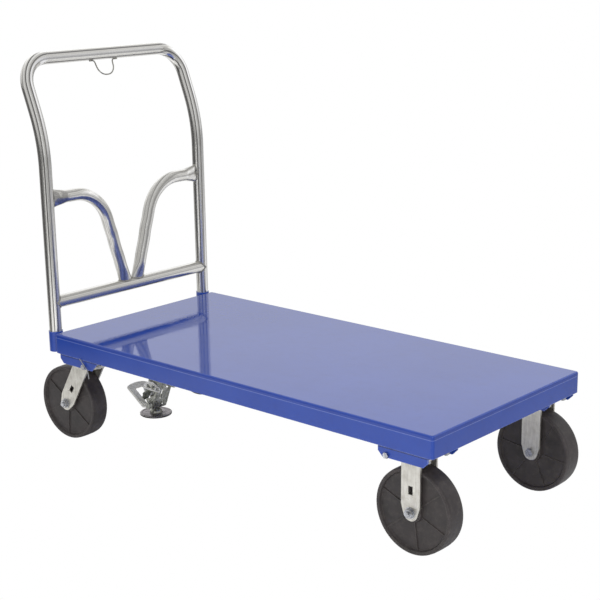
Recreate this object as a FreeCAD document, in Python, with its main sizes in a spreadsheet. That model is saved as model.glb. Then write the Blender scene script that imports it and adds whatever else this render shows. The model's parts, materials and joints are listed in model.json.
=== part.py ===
"""Flatbed platform truck: sheet-steel deck, pipe handle, two rigid and two swivel casters, floor lock.

Frame: +X runs from the handle end to the free end, +Y to the far long side, +Z up.
The floor is Z = 0 and the origin lies under the middle of the truck's overall length.
Millimetres throughout.
"""
import FreeCAD
import Part
import math
import os
import Sketcher

Vector = FreeCAD.Vector
Rotation = FreeCAD.Rotation

# ---------------------------------------------------------------- driving dimensions

DIMENSIONS = {
    # deck
    "deck_center_x": 43.1,
    "deck_length": 1250.0,
    "deck_width": 588.0,
    "deck_height": 301.0,
    "skirt_depth": 53.0,
    "sheet_thickness": 2.7,
    "deck_corner_radius": 7.0,
    "deck_edge_radius": 4.5,
    "hem_width": 8.0,
    # under-frame
    "channel_width": 110.4,
    "channel_thickness": 4.0,
    "channel_depth": 24.0,
    "channel_inset": 1.2,
    "rigid_channel_start": 477.0,
    "rigid_channel_end": 612.0,
    "swivel_channel_start": 457.0,
    "swivel_channel_end": 608.0,
    "channel_chamfer": 12.5,
    "swivel_channel_chamfer": 25.0,
    "cross_channel_x": 538.5,
    "cross_channel_width": 151.0,
    "cross_channel_thickness": 3.0,
    "stiffener_y": 110.0,
    "stiffener_width": 90.0,
    "stiffener_height": 38.0,
    "stiffener_flange": 20.0,
    # handle
    "tube_diameter": 33.4,
    "tube_wall": 2.8,
    "socket_diameter": 38.1,
    "socket_bore": 34.1,
    "socket_rise": 2.0,
    "socket_floor": 3.0,
    "knee_height": 814.0,
    "knee_radius": 400.0,
    "lean_angle": 21.0,
    "lean_length": 215.0,
    "corner_bend_radius": 76.0,
    "crossbar_height": 380.0,
    "brace_height": 659.0,
    "brace_corner_y": 101.0,
    "brace_foot_y": 20.2,
    "brace_bend_radius": 112.0,
    "pinch_length": 58.0,
    # casters
    "axle_x": 550.0,
    "trail": 72.0,
    "wheel_diameter": 203.2,
    "tread_width": 52.4,
    "tyre_inner_radius": 95.0,
    "hub_radius": 24.0,
    "hub_length": 54.4,
    "rib_count": 6,
    "leg_gap": 55.0,
    "leg_thickness": 4.8,
    "leg_width": 51.0,
    "leg_tip_radius": 19.5,
    "leg_taper": 16.0,
    "swivel_leg_lean": 30.0,
    "plate_length": 114.3,
    "plate_width": 101.6,
    "plate_thickness": 6.0,
    "bolt_spacing_x": 92.1,
    "bolt_spacing_y": 66.7,
    "bolt_diameter": 9.5,
    "bolt_hole_radius": 5.2,
    "crown_bottom": 214.0,
    "crown_top": 221.5,
    "race_bottom": 223.5,
    "race_radius": 43.0,
    "ball_circle_radius": 34.0,
    "ball_diameter": 8.0,
    "kingpin_diameter": 14.0,
    "axle_diameter": 12.7,
    "spanner_diameter": 19.0,
    "bearing_outer_radius": 17.0,
    # floor lock
    "lock_x": -566.0,
    "lock_plate_thickness": 5.0,
    "lock_bolt_spacing_x": 72.0,
    "lock_bolt_spacing_y": 72.8,
    "lock_side_gap": 48.0,
    "lock_side_thickness": 3.0,
    "lock_pivot_x": 6.0,
    "lock_pivot_z": 43.5,
    "lock_foot_radius": 45.3,
    "lock_foot_bottom": 9.5,
    "plunger_diameter": 16.0,
    "pedal_tilt": 35.0,
    "pedal_width": 70.0,
    "pedal_length": 94.0,
    "pedal_drop": 21.0,
    "toe_radius": 66.0,
    "toe_center_x": 16.0,
    "toe_center_z": 22.0,
}


class Size:
    """A dimension that carries both its value and the spreadsheet expression that gives it."""

    def __init__(self, value, text):
        self.value = value
        self.text = text

    def __add__(self, other):
        other = size(other)
        return Size(self.value + other.value, f"({self.text} + {other.text})")

    def __sub__(self, other):
        other = size(other)
        return Size(self.value - other.value, f"({self.text} - {other.text})")

    def __mul__(self, other):
        other = size(other)
        return Size(self.value * other.value, f"({self.text} * {other.text})")

    def __truediv__(self, other):
        other = size(other)
        return Size(self.value / other.value, f"({self.text} / {other.text})")

    def __radd__(self, other):
        return size(other) + self

    def __rsub__(self, other):
        return size(other) - self

    def __rmul__(self, other):
        return size(other) * self

    def __neg__(self):
        return Size(-self.value, f"(0 - {self.text})")


def size(number):
    """Any number as a Size."""
    return number if isinstance(number, Size) else Size(float(number), f"{float(number):.6f}")


def cosine(angle):
    return Size(math.cos(math.radians(angle.value)), f"cos({angle.text} * 1 deg)")


def sine(angle):
    return Size(math.sin(math.radians(angle.value)), f"sin({angle.text} * 1 deg)")


class Sheet:
    """The driving dimensions, read as attributes such as dim.deck_length."""

    def __init__(self, document):
        sheet = document.addObject("Spreadsheet::Sheet", "Dimensions")
        for row, (alias, value) in enumerate(DIMENSIONS.items(), start=1):
            sheet.set(f"A{row}", alias)
            sheet.set(f"B{row}", str(value))
            sheet.setAlias(f"B{row}", alias)

    def __getattr__(self, alias):
        return Size(float(DIMENSIONS[alias]), f"Dimensions.{alias}")


doc = FreeCAD.newDocument("PlatformTruck")
dim = Sheet(doc)
doc.recompute()

# ---------------------------------------------------------------- modelling helpers

subparts = []


def part_body(label, x=0, y=0, z=0, turn=None):
    """A new body whose local origin stands at (x, y, z), optionally turned."""
    body = doc.addObject("PartDesign::Body", label)
    body.Label = label
    place(body, x, y, z, turn)
    subparts.append(body)
    return body


def place(obj, x, y, z, turn=None):
    obj.Placement = FreeCAD.Placement(Vector(0, 0, 0), turn or Rotation())
    for axis, distance in zip("xyz", (x, y, z)):
        obj.setExpression(f"Placement.Base.{axis}", size(distance).text)


def about_z(angle):
    return Rotation(Vector(0, 0, 1), angle)


def origin_feature(body, role):
    return next(item for item in body.Origin.OriginFeatures if item.Role == role)


def polygon(*points):
    return ("polygon", points)


def rectangle(u_low, u_high, v_low, v_high):
    return polygon((u_low, v_low), (u_high, v_low), (u_high, v_high), (u_low, v_high))


def circle(u, v, radius):
    return ("circle", (u, v, radius))


def pin_to_origin(sketch, geometry, vertex, kind, distance):
    """Hold one vertex at a signed distance from the sketch origin."""
    distance = size(distance)
    if distance.value == 0:
        axis = -2 if kind == "DistanceX" else -1
        sketch.addConstraint(Sketcher.Constraint("PointOnObject", geometry, vertex, axis))
        return
    index = sketch.addConstraint(
        Sketcher.Constraint(kind, -1, 1, geometry, vertex, distance.value))
    sketch.setExpression(f"Constraints[{index}]", distance.text)


def draw_polygon(sketch, points):
    corners = [Vector(size(u).value, size(v).value, 0) for u, v in points]
    first = sketch.GeometryCount
    count = len(corners)
    for i in range(count):
        sketch.addGeometry(Part.LineSegment(corners[i], corners[(i + 1) % count]), False)
    for i in range(count):
        sketch.addConstraint(
            Sketcher.Constraint("Coincident", first + i, 2, first + (i + 1) % count, 1))
    for i, (u, v) in enumerate(points):
        pin_to_origin(sketch, first + i, 1, "DistanceX", u)
        pin_to_origin(sketch, first + i, 1, "DistanceY", v)


def draw_circle(sketch, u, v, radius):
    radius = size(radius)
    center = Vector(size(u).value, size(v).value, 0)
    index = sketch.addGeometry(Part.Circle(center, Vector(0, 0, 1), radius.value), False)
    pin_to_origin(sketch, index, 3, "DistanceX", u)
    pin_to_origin(sketch, index, 3, "DistanceY", v)
    bound = sketch.addConstraint(Sketcher.Constraint("Radius", index, radius.value))
    sketch.setExpression(f"Constraints[{bound}]", radius.text)


def sketch_on(body, plane, outlines, offset=0):
    """A fully constrained sketch on one of the body's own origin planes."""
    sketch = body.newObject("Sketcher::SketchObject", body.Label + "_sketch")
    sketch.AttachmentSupport = [(origin_feature(body, plane + "_Plane"), "")]
    sketch.MapMode = "FlatFace"
    sketch.setExpression("AttachmentOffset.Base.z", size(offset).text)
    for kind, data in outlines:
        if kind == "polygon":
            draw_polygon(sketch, data)
        else:
            draw_circle(sketch, *data)
    return sketch


def pad(body, plane, outlines, low, high):
    """Add the outlines between two coordinates along the plane's world axis."""
    low, high = size(low), size(high)
    offset = -high if plane == "XZ" else low
    feature = body.newObject("PartDesign::Pad", body.Label + "_pad")
    feature.Profile = sketch_on(body, plane, outlines, offset)
    feature.setExpression("Length", (high - low).text)
    return feature


def pocket(body, plane, outlines, low, high):
    """Cut the outlines away between two coordinates along the plane's world axis."""
    low, high = size(low), size(high)
    offset = -low if plane == "XZ" else high
    feature = body.newObject("PartDesign::Pocket", body.Label + "_pocket")
    feature.Profile = sketch_on(body, plane, outlines, offset)
    feature.setExpression("Length", (high - low).text)
    return feature


def turned(body, plane, outlines, cut=False):
    """Revolve outlines about the sketch's vertical axis: Z for XZ sketches, Y for XY sketches."""
    kind = "PartDesign::Groove" if cut else "PartDesign::Revolution"
    feature = body.newObject(kind, body.Label + "_turned")
    sketch = sketch_on(body, plane, outlines)
    feature.Profile = sketch
    feature.ReferenceAxis = (sketch, ["V_Axis"])
    feature.Angle = 360
    return feature


def round_edges(body, radius, wanted):
    """Fillet the edges of the body's tip that pass the test."""
    doc.recompute()
    base = body.Tip
    names = [f"Edge{i}" for i, edge in enumerate(base.Shape.Edges, start=1) if wanted(edge)]
    feature = body.newObject("PartDesign::Fillet", body.Label + "_rounding")
    feature.Base = (base, names)
    feature.setExpression("Radius", size(radius).text)


def is_vertical(edge):
    return edge.BoundBox.XLength + edge.BoundBox.YLength < 0.01


def is_at_height(height):
    return lambda edge: abs(edge.BoundBox.ZMin - height) + abs(edge.BoundBox.ZMax - height) < 0.01


def solid_feature(label, shape, x=0, y=0, z=0, turn=None):
    """A sub-part whose shape is made directly, for bent tubes, helices and groups of solids."""
    feature = doc.addObject("Part::Feature", label)
    feature.Label = label
    feature.Shape = Part.Compound(shape.Solids)
    place(feature, x, y, z, turn)
    subparts.append(feature)
    return feature


def bent_path(points, radii):
    """A wire of straight runs through points, joined by tangent arcs of the given radii."""
    edges = []
    start = points[0]
    for before, corner, after, radius in zip(points, points[1:], points[2:], radii):
        inward = (corner - before).normalize()
        outward = (after - corner).normalize()
        half_turn = inward.getAngle(outward) / 2
        setback = radius * math.tan(half_turn)
        arc_start = corner - inward * setback
        arc_end = corner + outward * setback
        bulge = (outward - inward).normalize()
        arc_middle = corner + bulge * (radius / math.cos(half_turn) - radius)
        edges.append(Part.LineSegment(start, arc_start).toShape())
        edges.append(Part.Arc(arc_start, arc_middle, arc_end).toShape())
        start = arc_end
    edges.append(Part.LineSegment(start, points[-1]).toShape())
    return Part.Wire(edges)


def swept_rod(path, radius):
    first = path.Edges[0]
    start = first.valueAt(first.FirstParameter)
    section = Part.Wire(Part.makeCircle(radius, start, first.tangentAt(first.FirstParameter)))
    return path.makePipeShell([section], True, True)


def swept_tube(path, outer_radius, wall):
    return swept_rod(path, outer_radius).cut(swept_rod(path, outer_radius - wall))


# ---------------------------------------------------------------- shared positions

deck_x = dim.deck_center_x
half_length = dim.deck_length / 2
half_width = dim.deck_width / 2
skirt_bottom = dim.deck_height - dim.skirt_depth
sheet_underside = dim.deck_height - dim.sheet_thickness
caster_y = half_width - dim.channel_width / 2
mount_height = skirt_bottom - dim.channel_thickness
plate_bottom = mount_height - dim.plate_thickness
wheel_radius = dim.wheel_diameter / 2
tube_radius = dim.tube_diameter / 2
upright_x = -half_length - dim.socket_diameter / 2
upright_y = half_width - dim.socket_diameter / 2
socket_inside = skirt_bottom + dim.socket_floor
leg_outside = dim.leg_gap / 2 + dim.leg_thickness
lock_origin_x = deck_x + dim.lock_x

SIDES = {"near": -1, "far": 1}
# how far each swivel fork and each wheel stands turned from square, in degrees
SWIVEL_TURN = {"near": 3.0, "far": 0.0}
WHEEL_TURN = {"rigid_near": 22.0, "rigid_far": 7.0, "swivel_near": 35.0, "swivel_far": 12.0}
# keeper bolts through the outer flanges, by end of the deck (-1 is the handle end)
KEEPER_X = {1: 501.0, -1: 512.0}
KEEPER_Z = 230.0
# floor lock: release pedal's pin, the shelf under the spring, the collar on top of it
RELEASE_X = 27.0
RELEASE_Z = 100.0
SHELF_Z = 142.0
SPRING_TOP = 226.0


def bolt_circles(spacing_x, spacing_y, radius):
    return [circle(spacing_x / 2 * i, spacing_y / 2 * j, radius) for i in (-1, 1) for j in (-1, 1)]


# ---------------------------------------------------------------- deck and under-frame

def make_deck_pan():
    """One folded tray: flat top, deep skirt all round and a narrow inward hem."""
    body = part_body("deck_pan", deck_x)
    t = dim.sheet_thickness
    pad(body, "XY", [rectangle(-half_length, half_length, -half_width, half_width)],
        skirt_bottom, dim.deck_height)
    round_edges(body, dim.deck_corner_radius, is_vertical)
    round_edges(body, dim.deck_edge_radius, is_at_height(dim.deck_height.value))
    round_edges(body, dim.sheet_thickness / 2, is_at_height(skirt_bottom.value))
    pocket(body, "XY", [rectangle(t - half_length, half_length - t, t - half_width, half_width - t)],
           skirt_bottom + t, sheet_underside)
    inset = t + dim.hem_width
    pocket(body, "XY", [rectangle(inset - half_length, half_length - inset,
                                  inset - half_width, half_width - inset)],
           skirt_bottom, skirt_bottom + t)


def make_stiffeners():
    """Two hat channels that run lengthwise under the deck, flanges up against the sheet."""
    t = dim.cross_channel_thickness.value
    half_w = dim.stiffener_width.value / 2
    half_web = half_w - dim.stiffener_flange.value
    top = sheet_underside.value
    bottom = top - dim.stiffener_height.value
    reach = dim.cross_channel_x.value - dim.cross_channel_width.value / 2
    outline = [(-half_w, top), (-half_w, top - t), (-half_web - t, top - t), (-half_web - t, bottom),
               (half_web + t, bottom), (half_web + t, top - t), (half_w, top - t), (half_w, top),
               (half_web, top), (half_web, bottom + t), (-half_web, bottom + t), (-half_web, top)]
    hats = []
    for side in SIDES.values():
        y = side * dim.stiffener_y.value
        points = [Vector(-reach, y + v, z) for v, z in outline]
        face = Part.Face(Part.makePolygon(points + points[:1]))
        hats.append(face.extrude(Vector(2 * reach, 0, 0)))
    solid_feature("deck_stiffeners", Part.Compound(hats), deck_x)


def make_cross_channel(label, side):
    """A trough across the deck that carries two casters: web down, flanges up to the sheet."""
    body = part_body(label, deck_x + side * dim.cross_channel_x)
    t = dim.cross_channel_thickness
    reach = half_width - dim.sheet_thickness - dim.hem_width
    half = dim.cross_channel_width / 2
    pad(body, "XZ", [polygon((-half, skirt_bottom), (half, skirt_bottom), (half, sheet_underside),
                             (half - t, sheet_underside), (half - t, skirt_bottom + t),
                             (t - half, skirt_bottom + t), (t - half, sheet_underside),
                             (-half, sheet_underside))], -reach, reach)
    offset = side * (dim.axle_x - dim.cross_channel_x)
    holes = [circle(offset + dim.bolt_spacing_x / 2 * i,
                    row * caster_y + dim.bolt_spacing_y / 2 * j, dim.bolt_hole_radius)
             for row in (-1, 1) for i in (-1, 1) for j in (-1, 1)]
    if side < 0:
        holes += [circle(dim.lock_x + dim.cross_channel_x + dim.lock_bolt_spacing_x / 2 * i,
                         dim.lock_bolt_spacing_y / 2 * j, dim.bolt_hole_radius)
                  for i in (-1, 1) for j in (-1, 1)]
    pocket(body, "XY", holes, skirt_bottom, skirt_bottom + t)


def make_caster_channel(label, end, side, start, finish, start_chamfer):
    """A short down-facing channel: flat web for the caster plate, outer flange just inside the skirt."""
    body = part_body(label, deck_x, side * caster_y)
    t = dim.channel_thickness
    bottom = skirt_bottom - dim.channel_depth
    half = dim.channel_width / 2
    cut = dim.channel_chamfer
    profile = polygon((end * start, skirt_bottom), (end * start, bottom + start_chamfer),
                      (end * (start + start_chamfer), bottom), (end * (finish - cut), bottom),
                      (end * finish, bottom + cut), (end * finish, skirt_bottom))
    inset = dim.channel_inset
    near_face, far_face = (inset - half, half) if side < 0 else (-half, half - inset)
    pad(body, "XZ", [profile], near_face, far_face)
    pocket(body, "XZ", [rectangle(-half_length, half_length, bottom - t, mount_height)],
           t - half, half - t)
    holes = [circle(end * dim.axle_x + dim.bolt_spacing_x / 2 * i, dim.bolt_spacing_y / 2 * j,
                    dim.bolt_hole_radius) for i in (-1, 1) for j in (-1, 1)]
    pocket(body, "XY", holes, mount_height, skirt_bottom)
    pocket(body, "XZ", [circle(end * KEEPER_X[end], KEEPER_Z, 4.2)], -half, half)


def make_socket(label, side):
    """A round socket with a closed floor, joined to the end skirt by its weld land."""
    body = part_body(label, deck_x + upright_x, side * upright_y)
    top = dim.deck_height + dim.socket_rise
    radius = dim.socket_diameter / 2
    pad(body, "XY", [circle(0, 0, radius)], skirt_bottom, top)
    pad(body, "XY", [rectangle(0, radius, -8, 8)], skirt_bottom, dim.deck_height - 6)
    pocket(body, "XY", [circle(0, 0, dim.socket_bore / 2)], socket_inside, top)


# ---------------------------------------------------------------- fasteners

def hexagon(across_flats, height, base=0.0):
    radius = across_flats / math.sqrt(3)
    corners = [Vector(radius * math.cos(math.radians(60 * i)), radius * math.sin(math.radians(60 * i)), base)
               for i in range(7)]
    block = Part.Face(Part.makePolygon(corners)).extrude(Vector(0, 0, height))
    crown = Part.makeCone(radius + height * 1.7, radius - 0.9, height, Vector(0, 0, base))
    return block.common(crown)


def hex_bolt(diameter, across_flats, head_height, length):
    """Bolt with its head above z = 0 and its shank pointing down."""
    shank = Part.makeCylinder(diameter / 2, length, Vector(0, 0, -length))
    chamfered = shank.makeChamfer(0.8, [shank.Edges[2]]) if length > 5 else shank
    return hexagon(across_flats, head_height).fuse(chamfered).removeSplitter()


def hex_nut(diameter, across_flats, height):
    """Nut standing on z = 0."""
    bore = Part.makeCylinder(diameter / 2, height, Vector(0, 0, 0))
    return hexagon(across_flats, height).cut(bore)


def placed(shape, x, y, z, axis=Vector(0, 0, 1)):
    """A copy of shape with its local +Z along axis, moved to (x, y, z)."""
    copy = shape.copy()
    copy.Placement = FreeCAD.Placement(Vector(x, y, z), Rotation(Vector(0, 0, 1), axis))
    return copy


def plate_bolt_positions():
    """Where the bolts of the four casters and of the floor lock stand, seen from above."""
    spots = []
    for end in (-1, 1):
        for side in (-1, 1):
            spots += [(end * dim.axle_x.value + i * dim.bolt_spacing_x.value / 2,
                       side * caster_y.value + j * dim.bolt_spacing_y.value / 2, plate_bottom.value)
                      for i in (-1, 1) for j in (-1, 1)]
    lock_bottom = mount_height.value - dim.lock_plate_thickness.value
    spots += [(dim.lock_x.value + i * dim.lock_bolt_spacing_x.value / 2,
               j * dim.lock_bolt_spacing_y.value / 2, lock_bottom) for i in (-1, 1) for j in (-1, 1)]
    return spots


def make_plate_fasteners():
    head_seat = skirt_bottom.value + dim.cross_channel_thickness.value
    diameter = dim.bolt_diameter.value
    bolt = hex_bolt(diameter, 14.3, 6.0, head_seat - plate_bottom.value + 11)
    nut = hex_nut(diameter, 14.3, 8.3)
    spots = plate_bolt_positions()
    solid_feature("plate_bolts", Part.Compound([placed(bolt, x, y, head_seat) for x, y, _ in spots]),
                  deck_x)
    solid_feature("plate_nuts", Part.Compound(
        [placed(nut, x, y, under, Vector(0, 0, -1)) for x, y, under in spots]), deck_x)


def make_keepers():
    """A short bolt through the outer flange of each caster channel, nut inside."""
    bolt = hex_bolt(8.0, 13.0, 5.5, 12.5)
    nut = hex_nut(8.0, 13.0, 6.5)
    bolts, nuts = [], []
    for end in (-1, 1):
        for side in (-1, 1):
            outside = side * (half_width - dim.channel_inset).value
            inside = side * (half_width - dim.channel_thickness).value
            bolts.append(placed(bolt, end * KEEPER_X[end], outside, KEEPER_Z, Vector(0, side, 0)))
            nuts.append(placed(nut, end * KEEPER_X[end], inside, KEEPER_Z, Vector(0, -side, 0)))
    solid_feature("keeper_bolts", Part.Compound(bolts), deck_x)
    solid_feature("keeper_nuts", Part.Compound(nuts), deck_x)


def make_keeper_clip():
    """A stiff bent wire that hooks into the skirt beside the near keeper bolt and hangs past it."""
    face = -half_width.value
    outside = face - 3.5
    points = [Vector(-522, face, 251), Vector(-522, outside, 251), Vector(-505, outside, 236),
              Vector(-492, outside, 225), Vector(-488, outside, 203)]
    path = bent_path(points, [2.5, 60, 14])
    solid_feature("keeper_clip", swept_rod(path, 1.2), deck_x)


# ---------------------------------------------------------------- casters

def leg_outline(axle_u, axle_z, lean, rise):
    """Side view of a fork leg: parallel sides, tapered foot; lean tilts its top towards +u."""
    half = dim.leg_width / 2
    tip = dim.leg_tip_radius
    rows = [(rise, half), (dim.leg_taper, half), (-tip * 0.32, tip * 0.947)]
    corners = [(along, -across) for along, across in rows] + [(a, w) for a, w in reversed(rows)]
    along_u, along_z = sine(lean), cosine(lean)
    return polygon(*[(axle_u + along * along_u + across * along_z,
                      axle_z + along * along_z - across * along_u) for along, across in corners])


def add_legs(body, axle_u, lean, rise, top):
    """Two fork legs with rounded tips, a slotted outer leg and the axle hole."""
    upright = lean.value == 0
    pad(body, "XZ", [leg_outline(axle_u, wheel_radius, lean, rise)], -leg_outside, leg_outside)
    pad(body, "XZ", [circle(axle_u, wheel_radius, dim.leg_tip_radius)], -leg_outside, leg_outside)
    if not upright:
        pocket(body, "XZ", [rectangle(-150, 150, top, top + 80)], -leg_outside, leg_outside)
    gap = dim.leg_gap / 2
    pocket(body, "XZ", [rectangle(-160, 80, 60, top if upright else dim.crown_bottom)], -gap, gap)
    pocket(body, "XZ", [circle(axle_u, wheel_radius, dim.axle_diameter / 2)], -leg_outside, leg_outside)
    slot_low, slot_high, slot_half = 42, 62, 6
    along_u, along_z = sine(lean), cosine(lean)
    slot = [(axle_u + a * along_u + w * along_z, wheel_radius + a * along_z - w * along_u)
            for a, w in ((slot_low, -slot_half), (slot_low, slot_half),
                         (slot_high, slot_half), (slot_high, -slot_half))]
    pocket(body, "XZ", [polygon(*slot)], -leg_outside, -gap)


def make_rigid_fork(label, side):
    turn = about_z(180) if side > 0 else None
    body = part_body(label, deck_x + dim.axle_x, side * caster_y, 0, turn)
    half_x, half_y = dim.plate_length / 2, dim.plate_width / 2
    pad(body, "XY", [rectangle(-half_x, half_x, -half_y, half_y)], plate_bottom, mount_height)
    round_edges(body, 6, is_vertical)
    add_legs(body, 0, size(0), plate_bottom - wheel_radius, plate_bottom)
    pocket(body, "XY", bolt_circles(dim.bolt_spacing_x, dim.bolt_spacing_y, dim.bolt_hole_radius),
           plate_bottom, mount_height)


def make_swivel_plate(label, side):
    """Top plate with its upper race, grooved for the balls and bored for the kingpin."""
    body = part_body(label, deck_x - dim.axle_x, side * caster_y)
    half_x, half_y = dim.plate_length / 2, dim.plate_width / 2
    pad(body, "XY", [rectangle(-half_x, half_x, -half_y, half_y)], plate_bottom, mount_height)
    round_edges(body, 6, is_vertical)
    rim = dim.race_radius
    turned(body, "XZ", [polygon((0, plate_bottom + 1), (rim - 6, plate_bottom + 1),
                                (rim - 5, plate_bottom - 3), (rim, dim.race_bottom + 5),
                                (rim, dim.race_bottom), (0, dim.race_bottom))])
    ball_groove(body)
    pocket(body, "XY", bolt_circles(dim.bolt_spacing_x, dim.bolt_spacing_y, dim.bolt_hole_radius),
           plate_bottom, mount_height)
    pocket(body, "XY", [circle(0, 0, dim.kingpin_diameter / 2)], dim.race_bottom, mount_height)


def ball_groove(body):
    middle = (dim.crown_top + dim.race_bottom) / 2
    turned(body, "XZ", [circle(dim.ball_circle_radius, middle, dim.ball_diameter / 2 + 0.3)], cut=True)


def swivel_turn(name):
    return about_z(SWIVEL_TURN[name])


def swivel_axle(name, side):
    """Centre of a swivel caster's wheel."""
    angle = math.radians(SWIVEL_TURN[name])
    return (deck_x - dim.axle_x - dim.trail * math.cos(angle),
            side * caster_y - dim.trail * math.sin(angle))


def make_swivel_fork(name, side):
    turn = about_z(SWIVEL_TURN[name])
    body = part_body("swivel_fork_" + name, deck_x - dim.axle_x, side * caster_y, 0, turn)
    add_legs(body, -dim.trail, dim.swivel_leg_lean, size(165), dim.crown_top)
    pad(body, "XY", [circle(0, 0, dim.race_radius)], dim.crown_bottom, dim.crown_top)
    ball_groove(body)
    pocket(body, "XY", [circle(0, 0, dim.kingpin_diameter / 2 + 0.3)], dim.crown_bottom, dim.crown_top)


def make_kingpins():
    """Headed pins that hold each fork's crown up under its race."""
    radius = dim.kingpin_diameter.value / 2
    foot = dim.crown_bottom.value - 0.4
    pin = Part.makeCylinder(radius, mount_height.value - foot, Vector(0, 0, foot))
    head = placed(hexagon(20.6, 5.2), 0, 0, foot, Vector(0, 0, -1))
    pins = [pin.fuse(head).translated(Vector(-dim.axle_x.value, side * caster_y.value, 0))
            for side in SIDES.values()]
    solid_feature("kingpins", Part.Compound(pins), deck_x)


def make_swivel_balls():
    middle = (dim.crown_top.value + dim.race_bottom.value) / 2
    radius, count = dim.ball_circle_radius.value, 16
    balls = [Part.makeSphere(dim.ball_diameter.value / 2, Vector(
                 radius * math.cos(2 * math.pi * i / count) - dim.axle_x.value,
                 radius * math.sin(2 * math.pi * i / count) + side * caster_y.value, middle))
             for side in SIDES.values() for i in range(count)]
    solid_feature("swivel_balls", Part.Compound(balls), deck_x)


def axle_bolt_shape():
    """Axle bolt along Y with its head on the +Y side."""
    reach = leg_outside.value
    bolt = hex_bolt(dim.axle_diameter.value - 0.1, 19.0, 7.0, 2 * reach + 15)
    return placed(bolt, 0, reach, 0, Vector(0, 1, 0))


def axle_nut_shape():
    """Flanged lock nut on the -Y side."""
    reach = leg_outside.value
    bore = Part.makeCylinder(dim.axle_diameter.value / 2, 12)
    nut = hexagon(19.0, 10.0).fuse(Part.makeCylinder(13.2, 2.2)).removeSplitter().cut(bore)
    return placed(nut, 0, -reach, 0, Vector(0, -1, 0))


def spanner_shape():
    """Hollow sleeve over the axle, clamped between the legs."""
    half = dim.leg_gap.value / 2
    outer = Part.makeCylinder(dim.spanner_diameter.value / 2, 2 * half, Vector(0, -half, 0), Vector(0, 1, 0))
    inner = Part.makeCylinder(dim.axle_diameter.value / 2, 2 * half, Vector(0, -half, 0), Vector(0, 1, 0))
    return outer.cut(inner)


def make_axles():
    makers = {"axle_bolt": axle_bolt_shape, "axle_nut": axle_nut_shape, "spanner": spanner_shape}
    for kind, maker in makers.items():
        rigid = [placed_turned(maker(), dim.axle_x.value, side * caster_y.value, 180 if side > 0 else 0)
                 for side in SIDES.values()]
        solid_feature(f"rigid_{kind}s", Part.Compound(rigid), deck_x, 0, wheel_radius)
        for name, side in SIDES.items():
            x, y = swivel_axle(name, side)
            solid_feature(f"swivel_{kind}_{name}", maker(), x, y, wheel_radius, swivel_turn(name))


def placed_turned(shape, x, y, angle):
    moved = shape.copy()
    moved.Placement = FreeCAD.Placement(Vector(x, y, 0), about_z(angle)).multiply(moved.Placement)
    return moved


# ---------------------------------------------------------------- wheels

def make_wheel(name, x, y, turn):
    """Rubber tyre on a moulded core with ribbed recesses, and the roller bearing in its hub."""
    half = dim.tread_width / 2
    inner, outer = dim.tyre_inner_radius, wheel_radius
    tyre = part_body("tyre_" + name, x, y, wheel_radius, turn)
    turned(tyre, "XY", [polygon((inner, -half + 1), (inner + 1, -half), (outer - 3.6, -half),
                                (outer - 1.4, -half + 1.8), (outer - 0.4, -half + 9), (outer, 0),
                                (outer - 0.4, half - 9), (outer - 1.4, half - 1.8),
                                (outer - 3.6, half), (inner + 1, half), (inner, half - 1))])

    core = part_body("wheel_core_" + name, x, y, wheel_radius, turn)
    hub, hub_half = dim.hub_radius, dim.hub_length / 2
    bore = dim.bearing_outer_radius
    web, rim = half - 7, inner - 3
    turned(core, "XY", [polygon(
        (bore, -hub_half), (hub - 1, -hub_half), (hub, 1 - hub_half), (hub + 2, -web), (rim - 3, -web),
        (rim, -half + 1), (inner, -half + 1), (inner, half - 1), (rim, half - 1),
        (rim - 3, web), (hub + 2, web), (hub, hub_half - 1), (hub - 1, hub_half), (bore, hub_half))])
    rib_height = web + 2.4
    ribs = pad(core, "XZ", [rectangle(hub - 2, rim - 0.5, -1, 1)], -rib_height, rib_height)
    pattern = core.newObject("PartDesign::PolarPattern", "rib_pattern_" + name)
    pattern.Originals = [ribs]
    pattern.Axis = (origin_feature(core, "Y_Axis"), [""])
    pattern.Angle = 360
    pattern.setExpression("Occurrences", dim.rib_count.text)
    core.Tip = pattern

    solid_feature("roller_bearing_" + name, roller_bearing_shape(), x, y, wheel_radius, turn)


def roller_bearing_shape():
    """Outer race and rollers; the rollers run on the spanner with a small clearance."""
    length = dim.hub_length.value - 6
    outer = dim.bearing_outer_radius.value
    spanner = dim.spanner_diameter.value / 2
    roller = (outer - 2.5 - spanner - 0.6) / 2
    pitch = spanner + 0.3 + roller
    axis = Vector(0, 1, 0)
    base = Vector(0, -length / 2, 0)
    race = Part.makeCylinder(outer, length, base, axis).cut(
        Part.makeCylinder(outer - 2.5, length, base, axis))
    count = 9
    rollers = [Part.makeCylinder(roller, length - 4, Vector(
                   pitch * math.cos(2 * math.pi * i / count), 2 - length / 2,
                   pitch * math.sin(2 * math.pi * i / count)), axis) for i in range(count)]
    return Part.Compound([race] + rollers)


def make_wheels():
    for name, side in SIDES.items():
        make_wheel("rigid_" + name, deck_x + dim.axle_x, side * caster_y,
                   Rotation(Vector(0, 1, 0), WHEEL_TURN["rigid_" + name]))
        x, y = swivel_axle(name, side)
        make_wheel("swivel_" + name, x, y,
                   swivel_turn(name) * Rotation(Vector(0, 1, 0), WHEEL_TURN["swivel_" + name]))


# ---------------------------------------------------------------- handle

def handle_point(side, along):
    """Centre of an upright at a distance past the knee, in the leaning plane."""
    lean = math.radians(dim.lean_angle.value)
    return Vector(upright_x.value - along * math.sin(lean), side * upright_y.value,
                  dim.knee_height.value + along * math.cos(lean))


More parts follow.
